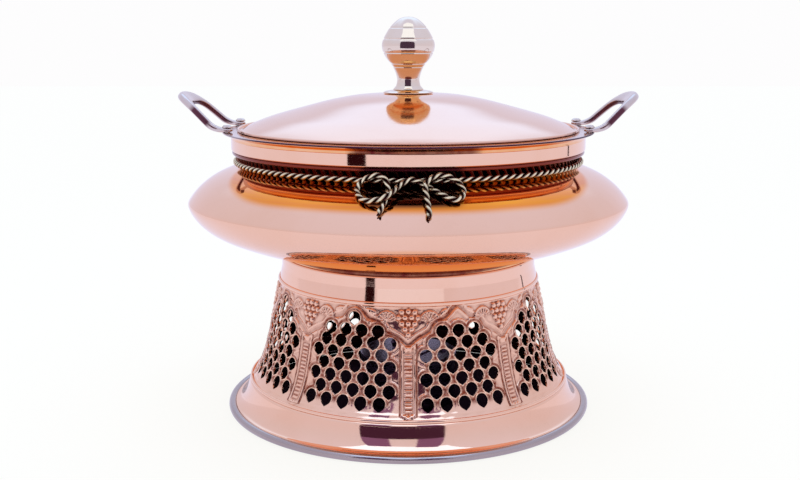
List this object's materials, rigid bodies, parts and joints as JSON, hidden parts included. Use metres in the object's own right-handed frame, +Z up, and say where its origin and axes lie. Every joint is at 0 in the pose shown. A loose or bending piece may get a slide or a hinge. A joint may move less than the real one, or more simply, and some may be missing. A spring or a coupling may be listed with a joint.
{
  "type": "chafing dish food warmer",
  "caption": "Round copper chafing dish: pierced stand over a fuel burner, water bowl, lift-out food pan with side handles, domed lid with a turned knob.",
  "frame": {"origin": "centre of the stand's foot, in the plane of the table", "axes": "+Z up along the dish's axis, -Y the front with the cord's bow, +X and -X the two handles"},
  "size_m": [0.399, 0.3804, 0.34],
  "materials": {
    "copper": "mirror-polished copper",
    "steel": "polished stainless steel",
    "handle_steel": "polished cast steel",
    "knob_metal": "mirror-polished nickel",
    "cord": "two-ply twisted cord, cream",
    "burner_steel": "brushed stainless steel",
    "wick": "fibre fuel pad"
  },
  "bodies": {
    "stand": {"stand_shell": "copper", "stand_rim_wire": "steel", "stand_top_ring": "copper", "stand_upper_bead": "copper", "stand_lower_bead": "copper"},
    "bowl": {"bowl_shell": "copper", "bowl_rim_wire": "copper", "neck_cord": "cord", "cord_bow": "cord"},
    "pan": {"pan_liner": "steel", "pan_collar": "copper", "collar_bead": "copper", "handle_left": "handle_steel", "handle_right": "handle_steel", "handle_rivets_left": "handle_steel", "handle_rivets_right": "handle_steel"},
    "lid": {"lid_shell": "copper", "lid_rim_ring": "copper", "lid_locating_ring": "steel", "knob": "knob_metal", "knob_base": "knob_metal", "knob_screw": "steel", "knob_washer": "steel"},
    "burner": {"burner_cup": "burner_steel", "burner_wick": "wick", "burner_cover": "burner_steel", "shutter_rivet": "burner_steel"},
    "shutter": {"burner_shutter": "burner_steel", "shutter_knob": "burner_steel"}
  },
  "joints": [
    {"name": "bowl_lift", "type": "slide", "parent": "stand", "child": "bowl", "axis": [0, 0, 1], "range_m": [0, 0.15]},
    {"name": "pan_lift", "type": "slide", "parent": "bowl", "child": "pan", "axis": [0, 0, 1], "range_m": [0, 0.15]},
    {"name": "lid_lift", "type": "slide", "parent": "pan", "child": "lid", "axis": [0, 0, 1], "range_m": [0, 0.15]},
    {"name": "burner_out", "type": "slide", "parent": "stand", "child": "burner", "axis": [0, 0, -1], "range_m": [0, 0.1]},
    {"name": "shutter_swing", "type": "hinge", "parent": "burner", "child": "shutter", "pos_m": [0.03, 0, 0.0452], "axis": [0, 0, 1], "range_deg": [0, 110]}
  ]
}
